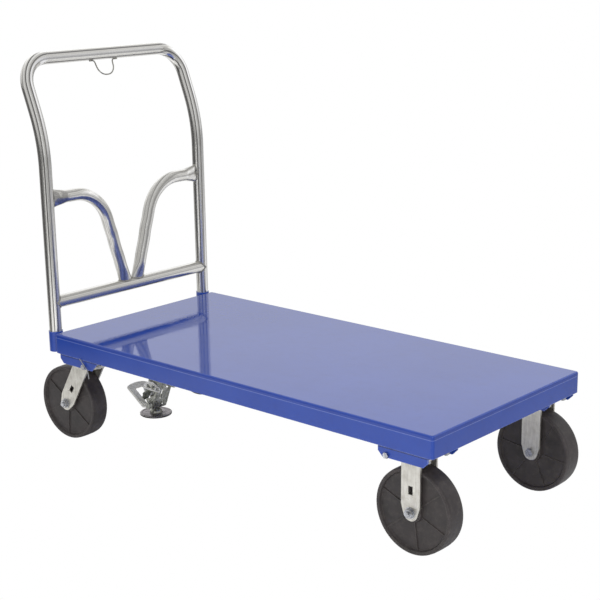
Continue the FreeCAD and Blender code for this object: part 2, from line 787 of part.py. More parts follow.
def make_handle_tube():
    """One pipe: up from the near socket, knee, corner, grip bar, and down into the far socket."""
    top = dim.lean_length.value
    foot = socket_inside.value
    corners = [Vector(upright_x.value, -upright_y.value, foot), handle_point(-1, 0),
               handle_point(-1, top), handle_point(1, top), handle_point(1, 0),
               Vector(upright_x.value, upright_y.value, foot)]
    knee, bend = dim.knee_radius.value, dim.corner_bend_radius.value
    path = bent_path(corners, [knee, bend, bend, knee])
    solid_feature("handle_tube", swept_tube(path, tube_radius.value, dim.tube_wall.value), deck_x)


def upright_cutters():
    radius = tube_radius.value
    return [Part.makeCylinder(radius, 700, Vector(upright_x.value, side * upright_y.value, 200))
            for side in SIDES.values()]


def make_crossbar():
    """Straight pipe between the uprights, its ends coped to fit them."""
    reach = 2 * upright_y.value
    base = Vector(upright_x.value, -upright_y.value, dim.crossbar_height.value)
    axis = Vector(0, 1, 0)
    radius, wall = tube_radius.value, dim.tube_wall.value
    bar = Part.makeCylinder(radius, reach, base, axis).cut(
        Part.makeCylinder(radius - wall, reach, base, axis))
    solid_feature("handle_crossbar", bar.cut(upright_cutters()), deck_x)


def pinched_section(center, tangent, half_x, half_across):
    """Closed curve square to tangent: half_x thick along X, half_across the other way."""
    across = tangent.cross(Vector(1, 0, 0)).normalize()
    count = 16
    points = [center + Vector(half_x * math.cos(2 * math.pi * i / count), 0, 0)
              + across * (half_across * math.sin(2 * math.pi * i / count)) for i in range(count)]
    curve = Part.BSplineCurve()
    curve.interpolate(points, PeriodicFlag=True)
    return Part.Wire(curve.toShape())


def pinched_run(end, along, facing, far, half_x, half_across, inset):
    """Sections from a squeezed tube end, back to round over the pinch length, then on to a distance.

    The sections step along the run and all face the way the whole brace is followed.
    """
    radius, length = tube_radius.value - inset, dim.pinch_length.value
    sections = []
    for share in (0.0, 0.25, 0.5, 0.75, 1.0):
        ease = share * share * (3 - 2 * share)
        thick, wide = half_x - inset, half_across - inset
        sections.append(pinched_section(end + along * (share * length), facing,
                                        thick + (radius - thick) * ease, wide + (radius - wide) * ease))
    for share in (0.25, 0.5, 0.8):
        center = end + along * (length + share * (far - length))
        sections.append(pinched_section(center, facing, radius, radius))
    return sections


def brace_solid(top, corner, foot, inset):
    """Lofted body of a brace; inset draws every section in, for the bore."""
    level, rising = (corner - top).normalize(), (corner - foot).normalize()
    turn = level.getAngle(-rising)
    bend, radius = dim.brace_bend_radius.value, tube_radius.value - inset
    setback = bend * math.tan(turn / 2)
    arc_start = corner - level * setback
    center = arc_start + (-rising - level * math.cos(turn)).normalize() * bend
    spoke = arc_start - center
    sections = pinched_run(top, level, level, top.distanceToPoint(arc_start), 8.5, 25.0, inset)
    count = 10
    for i in range(count + 1):
        angle = turn * i / count
        outward = spoke * math.cos(angle) + level * (bend * math.sin(angle))
        tangent = level * math.cos(angle) - spoke * (math.sin(angle) / bend)
        sections.append(pinched_section(center + outward, tangent, radius, radius))
    below = pinched_run(foot, rising, -rising, foot.distanceToPoint(corner) - setback, 10.0, 21.5, inset)
    return Part.makeLoft(sections + below[::-1], True)


def make_brace(label, side):
    """Bent pipe from an upright down to the crossbar, both ends squeezed flat and coped."""
    x = upright_x.value
    crossbar = dim.crossbar_height.value
    top = Vector(x, side * (upright_y.value - 8), dim.brace_height.value)
    corner = Vector(x, side * dim.brace_corner_y.value, dim.brace_height.value)
    foot = Vector(x, side * dim.brace_foot_y.value, crossbar + 8)
    bar = Part.makeCylinder(tube_radius.value, 600, Vector(x, -300, crossbar), Vector(0, 1, 0))
    tube = brace_solid(top, corner, foot, 0).cut(brace_solid(top, corner, foot, dim.tube_wall.value))
    solids = tube.cut(upright_cutters() + [bar]).Solids
    solid_feature(label, max(solids, key=lambda solid: solid.Volume), deck_x)


def make_bail_hook():
    """Bent wire under the grip bar: two flattened feet and a hanging loop."""
    lean = math.radians(dim.lean_angle.value)
    bar = handle_point(0, dim.lean_length.value)
    down = Vector(math.sin(lean), 0, -math.cos(lean))
    wire = 1.8
    touch = tube_radius.value + wire + 0.1
    rows = [(-50, touch), (-34, touch), (-27, touch + 41), (26, touch + 41), (29, touch), (47, touch)]
    points = [bar + down * drop + Vector(0, y, 0) for y, drop in rows]
    path = bent_path(points, [7, 27, 27, 7])
    solid_feature("bail_hook", swept_rod(path, wire), deck_x)


# ---------------------------------------------------------------- floor lock

def lock_bolt_holes():
    return bolt_circles(dim.lock_bolt_spacing_x, dim.lock_bolt_spacing_y, dim.bolt_hole_radius)


def make_lock_spacer():
    body = part_body("lock_spacer", lock_origin_x)
    pad(body, "XY", [rectangle(-52, 56, -46, 46)], mount_height, skirt_bottom)
    pocket(body, "XY", lock_bolt_holes(), mount_height, skirt_bottom)


def make_lock_housing():
    """Bent sheet housing: bolting flange, two side plates and a web that narrows to the foot."""
    body = part_body("lock_housing", lock_origin_x)
    top = mount_height
    flange_bottom = top - dim.lock_plate_thickness
    gap = dim.lock_side_gap / 2
    outside = gap + dim.lock_side_thickness
    pad(body, "XY", [rectangle(-50, 54, -44, 44)], flange_bottom, top)
    side_plate = polygon((5, flange_bottom + 1), (39, flange_bottom + 1), (39, 92), (14, 31), (4, 33),
                         (-3, 44), (-10, 59), (2, 63), (14, 69), (24, 76), (30, 84), (29, 96), (5, 100))
    pad(body, "XZ", [side_plate], -outside, outside)
    web = dim.lock_side_thickness
    pocket(body, "XZ", [polygon((-30, flange_bottom), (39 - web, flange_bottom), (39 - web, 92.5),
                                (14.2 - web, 30), (-30, 30))], -gap, gap)
    pad(body, "XY", [rectangle(6, 37, -gap - 1, gap + 1)], SHELF_Z - 4, SHELF_Z)
    pad(body, "XY", [rectangle(-14, 7, -16, 16)], SHELF_Z - 4, SHELF_Z)
    pocket(body, "XY", [circle(0, 0, dim.plunger_diameter / 2 + 0.3)], SHELF_Z - 4, SHELF_Z)
    pocket(body, "XY", lock_bolt_holes(), flange_bottom, top)
    pocket(body, "XY", [circle(0, 0, dim.plunger_diameter / 2 + 0.3)], flange_bottom, top)
    pocket(body, "YZ", [rectangle(-8, -2, 62, 91), circle(14, 97, 5.5), rectangle(7, 13, 39, 55)], 6, 45)
    pocket(body, "XZ", [circle(dim.lock_pivot_x, dim.lock_pivot_z, 4.1), circle(14, 150, 5),
                        circle(RELEASE_X, RELEASE_Z, 4.0)], -outside, outside)


def rivet_shape(radius, head_radius, inner, outer, side):
    """Shoulder rivet along Y between two distances from the centre plane, with a domed head."""
    shank = Part.makeCylinder(radius, outer - inner, Vector(0, side * inner, 0), Vector(0, side, 0))
    head = Part.makeCylinder(head_radius, 3.5, Vector(0, side * outer, 0), Vector(0, side, 0))
    rounded = head.makeFillet(1.6, [edge for edge in head.Edges
                                    if abs(edge.CenterOfMass.y - side * (outer + 3.5)) < 0.1])
    return shank.fuse(rounded)


def make_lock_pins():
    """Pedal rivets, headed near and peened far, and the headed pin that carries the release."""
    gap = dim.lock_side_gap.value / 2
    rivets = [placed(rivet_shape(4.0, head, gap, 32.2, side), dim.lock_pivot_x.value, 0,
                     dim.lock_pivot_z.value) for head, side in ((10.0, -1), (6.5, 1))]
    pin = rivet_shape(4.0, 6.0, 0, 31.6, -1).fuse(rivet_shape(4.0, 6.0, 0, 31.6, 1)).removeSplitter()
    solid_feature("lock_pins", Part.Compound(rivets + [placed(pin, RELEASE_X, 0, RELEASE_Z)]),
                  lock_origin_x)


def make_lock_plunger():
    """Turned shaft: flared foot, plain guide length, and the collar that the spring lifts."""
    body = part_body("lock_plunger", lock_origin_x)
    radius = dim.plunger_diameter / 2
    foot = dim.lock_foot_bottom + 6
    turned(body, "XZ", [polygon((0, foot), (17.5, foot), (16.5, foot + 6), (radius + 4, foot + 10),
                                (radius, foot + 13), (radius, SPRING_TOP), (13, SPRING_TOP),
                                (13, SPRING_TOP + 4), (radius, SPRING_TOP + 4), (radius, 242), (0, 242))])


def make_lock_foot():
    bottom = dim.lock_foot_bottom
    radius = dim.lock_foot_radius
    disc = part_body("lock_foot_disc", lock_origin_x)
    turned(disc, "XZ", [polygon((0, bottom + 3), (radius - 0.6, bottom + 3), (radius, bottom + 3.6),
                                (radius, bottom + 5), (radius - 1.2, bottom + 6),
                                (radius - 5, bottom + 6), (radius - 7, bottom + 5), (20, bottom + 5),
                                (18, bottom + 6), (0, bottom + 6))])
    sole = part_body("lock_foot_pad", lock_origin_x)
    turned(sole, "XZ", [polygon((0, bottom), (radius - 1.4, bottom), (radius - 0.2, bottom + 1),
                                (radius - 0.2, bottom + 3), (0, bottom + 3))])


def make_lock_cross_pin():
    """Pin through the plunger that the pedal's cams press down."""
    reach = 17.0
    pin = Part.makeCylinder(3.5, 2 * reach, Vector(0, -reach, 64), Vector(0, 1, 0))
    core = Part.makeCylinder(dim.plunger_diameter.value / 2, 40, Vector(0, 0, 44))
    solid_feature("lock_cross_pin", Part.Compound(pin.cut(core).Solids), lock_origin_x)


def make_lock_spring():
    """Compression spring round the plunger that lifts the foot."""
    wire, turns = 1.25, 7
    radius = dim.plunger_diameter.value / 2 + 0.8 + wire
    low, high = SHELF_Z + wire + 0.2, SPRING_TOP - wire - 0.2
    helix = Part.makeHelix((high - low) / turns, high - low, radius)
    profile = Part.Wire(Part.makeCircle(wire, Vector(radius, 0, 0), Vector(0, 1, 0)))
    coil = Part.Wire(helix).makePipeShell([profile], True, True)
    solid_feature("lock_spring", coil, lock_origin_x, 0, low)


def make_lock_pedal():
    """Forked foot plate with turned-up edges, hung from its pivots by two cheeks; tilted up at rest."""
    body = part_body("lock_pedal", lock_origin_x + dim.lock_pivot_x, 0, dim.lock_pivot_z,
                     Rotation(Vector(0, 1, 0), dim.pedal_tilt.value))
    half = dim.pedal_width / 2
    inner = dim.lock_side_gap / 2 + dim.lock_side_thickness + 0.6
    outer = inner + 3.6
    tip, low = -dim.pedal_length, -dim.pedal_drop
    pad(body, "XY", [polygon((-12, -half), (-12, half), (tip + 4, half), (tip, half - 4), (tip - 3.5, 18),
                             (tip - 5, 0), (tip - 3.5, -18), (tip, 4 - half), (tip + 4, -half))],
        low, low + 3.5)
    lip = rectangle(tip + 6, -14, low, low + 6.5)
    cheek = polygon((-34, low + 1), (-10, low + 1), (4, -8), (8, -4), (8, 4), (4, 8), (-4, 8),
                    (-16, low + 12))
    for side in SIDES.values():
        edges = (half - 2.5, half) if side > 0 else (-half, 2.5 - half)
        faces = (inner, outer) if side > 0 else (-outer, -inner)
        pad(body, "XZ", [lip], *edges)
        pad(body, "XZ", [cheek], *faces)
    pocket(body, "XY", [rectangle(tip + 15, -10, -14, 14)], low - 1, low + 5)
    pocket(body, "XZ", [circle(0, 0, 4.3)], -outer, outer)


def toe_circle(inset=0):
    return circle(dim.toe_center_x, dim.toe_center_z, dim.toe_radius - inset)


def make_lock_yoke():
    """Release yoke: two pierced arms outside the housing, joined by a strap ahead of the plunger."""
    body = part_body("lock_yoke", lock_origin_x)
    inner = dim.lock_side_gap / 2 + dim.lock_side_thickness + 0.8
    outer = inner + 3
    arm = polygon((-15, 90), (-15, 94), (-5, 108), (9, 117), (27, 116), (52, 105), (56, 97), (50, 90))
    pad(body, "XZ", [arm], -outer, outer)
    pocket(body, "XZ", [rectangle(-12, 60, 80, 120)], -inner, inner)
    pad(body, "XZ", [rectangle(-15, -12, 78, 95)], -inner - 1, inner + 1)
    pocket(body, "XZ", [toe_circle()], -inner - 1, inner + 1)
    pocket(body, "XZ", [rectangle(0, 17, 95, 107), rectangle(37, 50, 94, 104),
                        circle(RELEASE_X, RELEASE_Z, 4.3)], -outer, outer)


def make_lock_toe_plate():
    """Curved plate under the yoke's strap, slotted round the plunger, that runs down to a toe tab."""
    body = part_body("lock_toe_plate", lock_origin_x)
    pad(body, "XZ", [toe_circle(), toe_circle(3)], -21, 21)
    x, z = dim.toe_center_x, dim.toe_center_z
    pocket(body, "XZ", [polygon((x - 80, z - 80), (x + 80, z - 80), (x + 80, z + 80), (x, z + 80), (x, z),
                                (x - 80, z + 27))], -21, 21)
    pocket(body, "XY", [rectangle(-11.5, 20, -9, 9)], z, z + 80)
    pocket(body, "XY", [rectangle(-60, -30, -22, -13), rectangle(-60, -30, 13, 22)], z, z + 80)


# ---------------------------------------------------------------- assembly

make_deck_pan()
make_stiffeners()
make_cross_channel("cross_channel_handle_end", -1)
make_cross_channel("cross_channel_free_end", 1)
for side_name, side_sign in SIDES.items():
    make_caster_channel("caster_channel_swivel_" + side_name, -1, side_sign, dim.swivel_channel_start,
                        dim.swivel_channel_end, dim.swivel_channel_chamfer - 2)
    make_caster_channel("caster_channel_rigid_" + side_name, 1, side_sign, dim.rigid_channel_start,
                        dim.rigid_channel_end, dim.channel_chamfer)
    make_socket("handle_socket_" + side_name, side_sign)
    make_rigid_fork("rigid_fork_" + side_name, side_sign)
    make_swivel_plate("swivel_plate_" + side_name, side_sign)
    make_swivel_fork(side_name, side_sign)
    make_brace("brace_" + side_name, side_sign)
make_kingpins()
make_swivel_balls()
make_axles()
make_wheels()
make_plate_fasteners()
make_keepers()
make_keeper_clip()
make_handle_tube()
make_crossbar()
make_bail_hook()
make_lock_spacer()
make_lock_housing()
make_lock_pins()
make_lock_plunger()
make_lock_foot()
make_lock_cross_pin()
make_lock_spring()
make_lock_pedal()
make_lock_yoke()
make_lock_toe_plate()
doc.recompute()

# ---------------------------------------------------------------- checks and export

failed = [item.Label for item in doc.Objects if {"Invalid", "Error"} & set(item.State)]
failed += [part.Label for part in subparts if part.Shape.isNull() or not part.Shape.isValid()]
if failed:
    raise SystemExit("failed objects: " + ", ".join(failed))

os.makedirs("parts", exist_ok=True)
for part in subparts:
    part.Shape.exportStep(os.path.join("parts", part.Label + ".step"))
print(len(subparts), "sub-parts written")
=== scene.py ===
import json
import math

import bpy
from mathutils import Matrix, Vector


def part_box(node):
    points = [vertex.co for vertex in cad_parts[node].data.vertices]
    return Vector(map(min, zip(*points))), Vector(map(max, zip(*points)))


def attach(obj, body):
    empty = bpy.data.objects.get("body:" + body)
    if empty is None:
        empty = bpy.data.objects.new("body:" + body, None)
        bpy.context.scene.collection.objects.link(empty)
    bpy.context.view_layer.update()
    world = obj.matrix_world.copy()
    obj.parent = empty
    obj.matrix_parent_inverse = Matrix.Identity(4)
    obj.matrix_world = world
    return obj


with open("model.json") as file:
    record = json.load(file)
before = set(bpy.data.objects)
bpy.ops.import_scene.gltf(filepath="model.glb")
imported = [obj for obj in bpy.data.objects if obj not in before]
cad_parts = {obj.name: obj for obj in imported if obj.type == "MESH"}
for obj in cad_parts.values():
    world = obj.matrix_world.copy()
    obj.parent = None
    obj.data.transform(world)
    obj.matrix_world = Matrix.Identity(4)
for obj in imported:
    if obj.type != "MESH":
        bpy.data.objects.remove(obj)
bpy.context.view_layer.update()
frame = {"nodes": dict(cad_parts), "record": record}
nodes = frame["nodes"]
scene = bpy.context.scene

SIDES = {"near": -1, "far": 1}
WHEELS = ("rigid_near", "rigid_far", "swivel_near", "swivel_far")


# ---------------------------------------------------------------- node helpers

class Graph:
    """Short calls that add and join nodes in one node tree."""

    def __init__(self, tree):
        self.tree = tree

    def add(self, kind, inputs=None, **settings):
        node = self.tree.nodes.new("ShaderNode" + kind)
        for key, value in settings.items():
            setattr(node, key, value)
        for key, value in (inputs or {}).items():
            self.feed(node.inputs[key], value)
        return node

    def feed(self, socket, value):
        if isinstance(value, bpy.types.NodeSocket):
            self.tree.links.new(value, socket)
        elif isinstance(value, bpy.types.Node):
            self.tree.links.new(value.outputs[0], socket)
        else:
            socket.default_value = value

    def place(self, scale=(1, 1, 1), source="Object"):
        """Texture coordinates stretched by scale."""
        coordinate = self.add("TexCoord").outputs[source]
        return self.add("Mapping", {"Vector": coordinate, "Scale": scale}).outputs[0]

    def noise(self, scale, detail=3.0, roughness=0.55, stretch=(1, 1, 1), source="Object",
              distortion=0.0):
        texture = self.add("TexNoise", {"Vector": self.place(stretch, source), "Scale": scale,
                                        "Detail": detail, "Roughness": roughness,
                                        "Distortion": distortion})
        return texture.outputs[0]

    def span(self, value, low, high, to_low=0.0, to_high=1.0):
        """Value mapped from low..high to to_low..to_high, held at the ends."""
        return self.add("MapRange", {"Value": value, "From Min": low, "From Max": high,
                                     "To Min": to_low, "To Max": to_high}).outputs[0]

    def math(self, operation, a, b=0.0):
        return self.add("Math", {0: a, 1: b}, operation=operation).outputs[0]

    def mix(self, factor, a, b, blend="MIX"):
        node = self.add("Mix", data_type="RGBA", blend_type=blend)
        self.feed(node.inputs[0], factor)
        self.feed(node.inputs[6], a)
        self.feed(node.inputs[7], b)
        return node.outputs[2]

    def position(self, axis, source="Object"):
        coordinate = self.add("TexCoord").outputs[source]
        return self.add("SeparateXYZ", {0: coordinate}).outputs["XYZ".index(axis)]

    def ramp(self, value, *stops):
        """Value through a grey ramp of (position, level) stops; levels may be above one."""
        node = self.add("FloatCurve", {"Value": value, "Factor": 1.0})
        curve = node.mapping.curves[0]
        top = max(level for _, level in stops)
        while len(curve.points) < len(stops):
            curve.points.new(0.5, 0.5)
        for point, (where, level) in zip(curve.points, stops):
            point.location = (where, level / top)
            point.handle_type = "AUTO_CLAMPED"
        node.mapping.update()
        return self.math("MULTIPLY", node.outputs[0], top)


class Finish(Graph):
    """A procedural material round one Principled shader."""

    def __init__(self, name, **settings):
        self.material = bpy.data.materials.new(name)
        self.material.use_nodes = True
        super().__init__(self.material.node_tree)
        self.shader = next(n for n in self.tree.nodes if n.type == "BSDF_PRINCIPLED")
        self.bumps = None
        for key, value in settings.items():
            self.shader.inputs[key.replace("_", " ")].default_value = value

    def color(self, value):
        self.feed(self.shader.inputs["Base Color"], value)

    def roughness(self, value):
        self.feed(self.shader.inputs["Roughness"], value)

    def bump(self, height, distance, strength=1.0):
        inputs = {"Height": height, "Distance": distance, "Strength": strength}
        if self.bumps:
            inputs["Normal"] = self.bumps
        self.bumps = self.add("Bump", inputs).outputs[0]
        self.feed(self.shader.inputs["Normal"], self.bumps)

    def edge_mask(self, radius):
        """Near one along sharp or tightly rounded edges, zero on open faces."""
        rounded = self.add("Bevel", {"Radius": radius}, samples=4).outputs[0]
        flat = self.add("NewGeometry").outputs["Normal"]
        match = self.add("VectorMath", {0: rounded, 1: flat}, operation="DOT_PRODUCT").outputs["Value"]
        return self.span(match, 0.995, 0.90)


def rgb(red, green, blue):
    """An sRGB colour, 0-255, as linear RGBA."""
    def linear(value):
        value /= 255
        return value / 12.92 if value <= 0.04045 else ((value + 0.055) / 1.055) ** 2.4
    return (linear(red), linear(green), linear(blue), 1.0)


# ---------------------------------------------------------------- materials

# Light and dark lines painted on the tubes by the direction the surface faces, in place of reflections.
# They are counted along this level axis, stay fixed to the metal, and don't follow the view.
TUBE_LINE_AXIS = (0.643, 0.766, 0.0)
# Each line: its place on the axis from -1 to 1, half width, tone, and how strongly it is painted.
TUBE_LINES = (
    (-0.12, 0.08, rgb(58, 56, 60), 0.9),
    (0.10, 0.12, rgb(255, 255, 252), 1.0),
    (0.46, 0.07, rgb(78, 76, 82), 0.75),
    (-0.42, 0.11, rgb(255, 254, 250), 0.9),
    (-0.68, 0.06, rgb(96, 92, 90), 0.65),
    (0.70, 0.09, rgb(246, 246, 250), 0.7),
    (-1.0, 0.14, rgb(112, 110, 108), 0.6),
    (1.0, 0.14, rgb(112, 112, 118), 0.6),
)


def make_enamel(name, bands=()):
    """Glossy baked enamel: deep blue, orange peel, handling haze, edges lightened as wear and painted
    highlight.

    Each band is (bottom, top, colour, amount): a level strip of painted shade or highlight at a fold or
    seam.
    """
    g = Finish(name, IOR=1.5)
    tone = g.noise(3.0, 4, 0.6)
    base = g.mix(g.span(tone, 0.35, 0.65), rgb(30, 60, 143), rgb(36, 66, 151))
    height = g.position("Z")
    # Each band paints shade or a highlight into the colour.
    for bottom, top, shade, amount in bands:
        soft = min(0.0006, (top - bottom) / 3)
        above = g.span(height, bottom, bottom + soft)
        below = g.span(height, top, top - soft)
        inside = g.math("MULTIPLY", above, below)
        base = g.mix(g.math("MULTIPLY", inside, amount), base, shade)
    speck = g.noise(900, 2, 0.5)
    base = g.mix(g.span(speck, 0.67, 0.78, 0.0, 0.3), base, rgb(92, 106, 172))
    grime = g.math("MULTIPLY", g.span(g.noise(34, 6, 0.7), 0.5, 0.74), 0.22)
    base = g.mix(grime, base, rgb(30, 44, 112))
    # Edges lighter: partly worn paint, partly a painted highlight.
    edge_wear_and_highlight = g.math("MULTIPLY", g.edge_mask(0.0026), g.span(g.noise(46, 5, 0.7), 0.34, 0.66, 0.2, 0.85))
    g.color(g.mix(edge_wear_and_highlight, base, rgb(132, 147, 205)))
    haze = g.noise(9.0, 5, 0.65)
    smear = g.noise(4.0, 4, 0.6, stretch=(1, 6, 6))
    gloss = g.math("ADD", g.span(haze, 0.4, 0.75, 0.0, 0.05), g.span(smear, 0.5, 0.8, 0.0, 0.05))
    g.roughness(g.math("ADD", gloss, 0.04))
    g.bump(g.noise(420, 2, 0.5), 0.00002, 0.4)
    g.bump(g.noise(11, 2, 0.5), 0.00025, 0.5)
    return g.material


def make_tube_metal(name, contrast):
    """Bright plated tube with painted reflection lines and streaks, light clouding and fine scratches.

    The painted lines stand in for reflections; contrast says how strong they are.
    """
    g = Finish(name, Metallic=0.92)
    facing = g.add("TexCoord").outputs["Normal"]
    across = g.add("VectorMath", {0: facing, 1: TUBE_LINE_AXIS}, operation="DOT_PRODUCT").outputs["Value"]
    painted_reflection_streak = g.add("TexNoise", noise_dimensions="1D")
    g.feed(painted_reflection_streak.inputs["W"], across)
    for key, value in {"Scale": 7.0, "Detail": 4.0, "Roughness": 0.75}.items():
        painted_reflection_streak.inputs[key].default_value = value
    fine = g.noise(23.0, 4, 0.7, source="Normal")
    cloud = g.noise(26, 5, 0.65)
    # Painted reflection: the streak noise and the fine noise, both read by the direction the surface
    # faces, lighten and darken the tube.
    shade = g.math("ADD", g.span(painted_reflection_streak, 0.36, 0.64, 0.0, 0.65), g.span(fine, 0.34, 0.66, 0.0, 0.35))
    color = g.mix(shade, rgb(172, 170, 165), rgb(250, 249, 245))
    for where, half_width, tone, amount in TUBE_LINES:
        offset = g.math("ABSOLUTE", g.math("SUBTRACT", across, where))
        color = g.mix(g.span(offset, half_width * 0.5, half_width, amount * contrast, 0.0), color, tone)
    color = g.mix(g.span(cloud, 0.45, 0.75, 0.0, 0.14), color, rgb(176, 171, 162))
    g.color(color)
    g.roughness(g.math("ADD", g.span(fine, 0.3, 0.7, 0.13, 0.22), g.span(cloud, 0.45, 0.8, 0.0, 0.06)))
    g.bump(g.noise(420, 3, 0.6), 0.00001, 0.4)
    return g.material


def make_zinc(name, dark, light, stain, grain=(1, 1, 1), rough=(0.28, 0.48), metallic=0.85, stains=0.35,
              edge=0.35):
    """Plated or galvanised sheet: spangle, directional grain, dull stains, rubbed edges."""
    g = Finish(name, Metallic=metallic)
    patch = g.noise(60, 6, 0.68)
    line = g.noise(220, 4, 0.6, stretch=grain)
    spangle = g.add("TexVoronoi", {"Vector": g.place(), "Scale": 260.0}).outputs["Color"]
    spangle = g.add("SeparateXYZ", {0: spangle}).outputs[0]
    color = g.mix(g.span(line, 0.3, 0.7), dark, light)
    color = g.mix(g.span(spangle, 0.0, 1.0, 0.0, 0.22), color, light)
    color = g.mix(g.span(patch, 0.44, 0.7, 0.0, stains), color, stain)
    color = g.mix(g.math("MULTIPLY", g.edge_mask(0.0012), edge), color, rgb(232, 230, 222))
    g.color(color)
    g.roughness(g.math("ADD", g.span(patch, 0.35, 0.7, rough[0], rough[1]),
                       g.span(spangle, 0, 1, -0.04, 0.05)))
    g.bump(line, 0.00005, 0.35)
    g.bump(patch, 0.0004, 0.2)
    return g.material


def make_rubber(name, dark, light, rough, dust=0.25, grain=300, rings=0.0):
    """Moulded rubber or resin: fine pebble, flow marks, dry dust, and turned rings on round parts."""
    g = Finish(name, Specular_IOR_Level=0.45)
    flow = g.noise(24, 5, 0.6, distortion=0.4)
    pebble = g.noise(grain, 3, 0.6)
    color = g.mix(g.span(flow, 0.3, 0.72), dark, light)
    color = g.mix(g.span(g.noise(70, 6, 0.75), 0.5, 0.8, 0.0, dust), color, rgb(112, 106, 98))
    scuff = g.math("MULTIPLY", g.edge_mask(0.002), g.span(g.noise(90, 4, 0.7), 0.35, 0.65, 0.1, 0.5))
    g.color(g.mix(scuff, color, rgb(96, 92, 88)))
    g.roughness(g.math("ADD", g.span(flow, 0.3, 0.7, rough, rough + 0.12),
                       g.span(pebble, 0.3, 0.7, -0.05, 0.05)))
    g.bump(pebble, 0.00012, 0.5)
    g.bump(flow, 0.0006, 0.25)
    if rings:
        across = g.math("SUBTRACT", g.position("X", "Generated"), 0.5)
        rise = g.math("SUBTRACT", g.position("Z", "Generated"), 0.5)
        radius = g.math("SQRT", g.math("ADD", g.math("MULTIPLY", across, across),
                                       g.math("MULTIPLY", rise, rise)))
        g.bump(g.math("SINE", g.math("MULTIPLY", radius, rings)), 0.00012, 0.4)
    return g.material


MATERIALS = {
    "blue_enamel": make_enamel("blue_enamel"),
    "bright_tube": make_tube_metal("bright_tube", 1.0),
    "zinc_wire": make_zinc("zinc_wire", rgb(120, 118, 112), rgb(190, 188, 180), rgb(90, 86, 78)),
    "zinc_plate": make_zinc("zinc_plate", rgb(196, 193, 186), rgb(230, 228, 220), rgb(166, 160, 147),
                            grain=(1, 1, 0.08), rough=(0.3, 0.46), metallic=0.92),
    "bright_fasteners": make_zinc("bright_fasteners", rgb(140, 142, 148), rgb(226, 228, 232),
                                  rgb(96, 94, 92), rough=(0.16, 0.34), metallic=1.0),
    "tyre_rubber": make_rubber("tyre_rubber", rgb(38, 34, 35), rgb(60, 55, 56), 0.48, rings=900.0),
    "wheel_core": make_rubber("wheel_core", rgb(37, 34, 34), rgb(58, 53, 53), 0.42, dust=0.2, grain=180,
                              rings=420.0),
    "lock_zinc": make_zinc("lock_zinc", rgb(138, 141, 130), rgb(222, 222, 212), rgb(70, 74, 62),
                           rough=(0.22, 0.48), metallic=0.9, stains=0.7, edge=0.6),
    "lock_dark": make_zinc("lock_dark", rgb(84, 90, 80), rgb(150, 156, 142), rgb(52, 54, 48),
                           rough=(0.3, 0.5), metallic=0.7, edge=0.25),
    "foot_rubber": make_rubber("foot_rubber", rgb(38, 38, 36), rgb(58, 57, 54), 0.62),
}

# Painted highlight and painted shade for the pan's fold, and painted shade for the channels' seam.
FOLD_HIGHLIGHT_COLOR, FOLD_SHADE_COLOR, SEAM_SHADE_COLOR = rgb(138, 153, 208), rgb(20, 42, 122), rgb(12, 20, 60)
FOLD_SHADE = (-0.0105, -0.0014)  # painted shade: strip under the pan's top edge, measured from the deck's top
FOLD_LINE = (-0.0112, -0.0098)  # painted highlight line where that strip ends
SEAM = (-0.0032, 0.01)  # painted shade along the seam of the caster channels, measured from the skirt's lower edge
deck_low, deck_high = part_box("deck_pan")
PAN_ENAMEL = make_enamel("pan_enamel", bands=(
    (deck_high.z + FOLD_SHADE[0], deck_high.z + FOLD_SHADE[1], FOLD_SHADE_COLOR, 0.3),
    (deck_high.z + FOLD_LINE[0], deck_high.z + FOLD_LINE[1], FOLD_HIGHLIGHT_COLOR, 0.6)))
CHANNEL_ENAMEL = make_enamel("channel_enamel", bands=(
    (deck_low.z + SEAM[0], deck_low.z + SEAM[1], SEAM_SHADE_COLOR, 0.75),))
PEDAL_ZINC = make_zinc("pedal_zinc", rgb(206, 205, 198), rgb(242, 241, 235), rgb(148, 149, 140),
                       rough=(0.3, 0.5), metallic=0.3, stains=0.55, edge=0.6)
DISC_ZINC = make_zinc("disc_zinc", rgb(92, 88, 92), rgb(158, 152, 156), rgb(58, 56, 60),
                      rough=(0.26, 0.46), metallic=0.85, stains=0.6, edge=0.6)
YOKE_ZINC = make_zinc("yoke_zinc", rgb(206, 206, 204), rgb(244, 244, 242), rgb(150, 146, 140),
                      rough=(0.28, 0.44), metallic=0.5, stains=0.4, edge=0.6)
SOFT_TUBE = make_tube_metal("soft_tube", 0.4)
# Nodes whose finish differs from the rest of their material slot.
SPECIAL = {"brace_near": SOFT_TUBE, "brace_far": SOFT_TUBE, "handle_crossbar": SOFT_TUBE,
           "lock_pedal": PEDAL_ZINC, "lock_foot_disc": DISC_ZINC, "lock_yoke": YOKE_ZINC,
           "keeper_clip": MATERIALS["bright_fasteners"], "deck_pan": PAN_ENAMEL}
SPECIAL.update({"caster_channel_" + wheel: CHANNEL_ENAMEL for wheel in WHEELS})

for row in frame["record"]["subparts"]:
    node = nodes[row["node"]]
    node.data.materials.clear()
    node.data.materials.append(SPECIAL.get(row["node"], MATERIALS[row["material_slot"]]))


# ---------------------------------------------------------------- weld beads

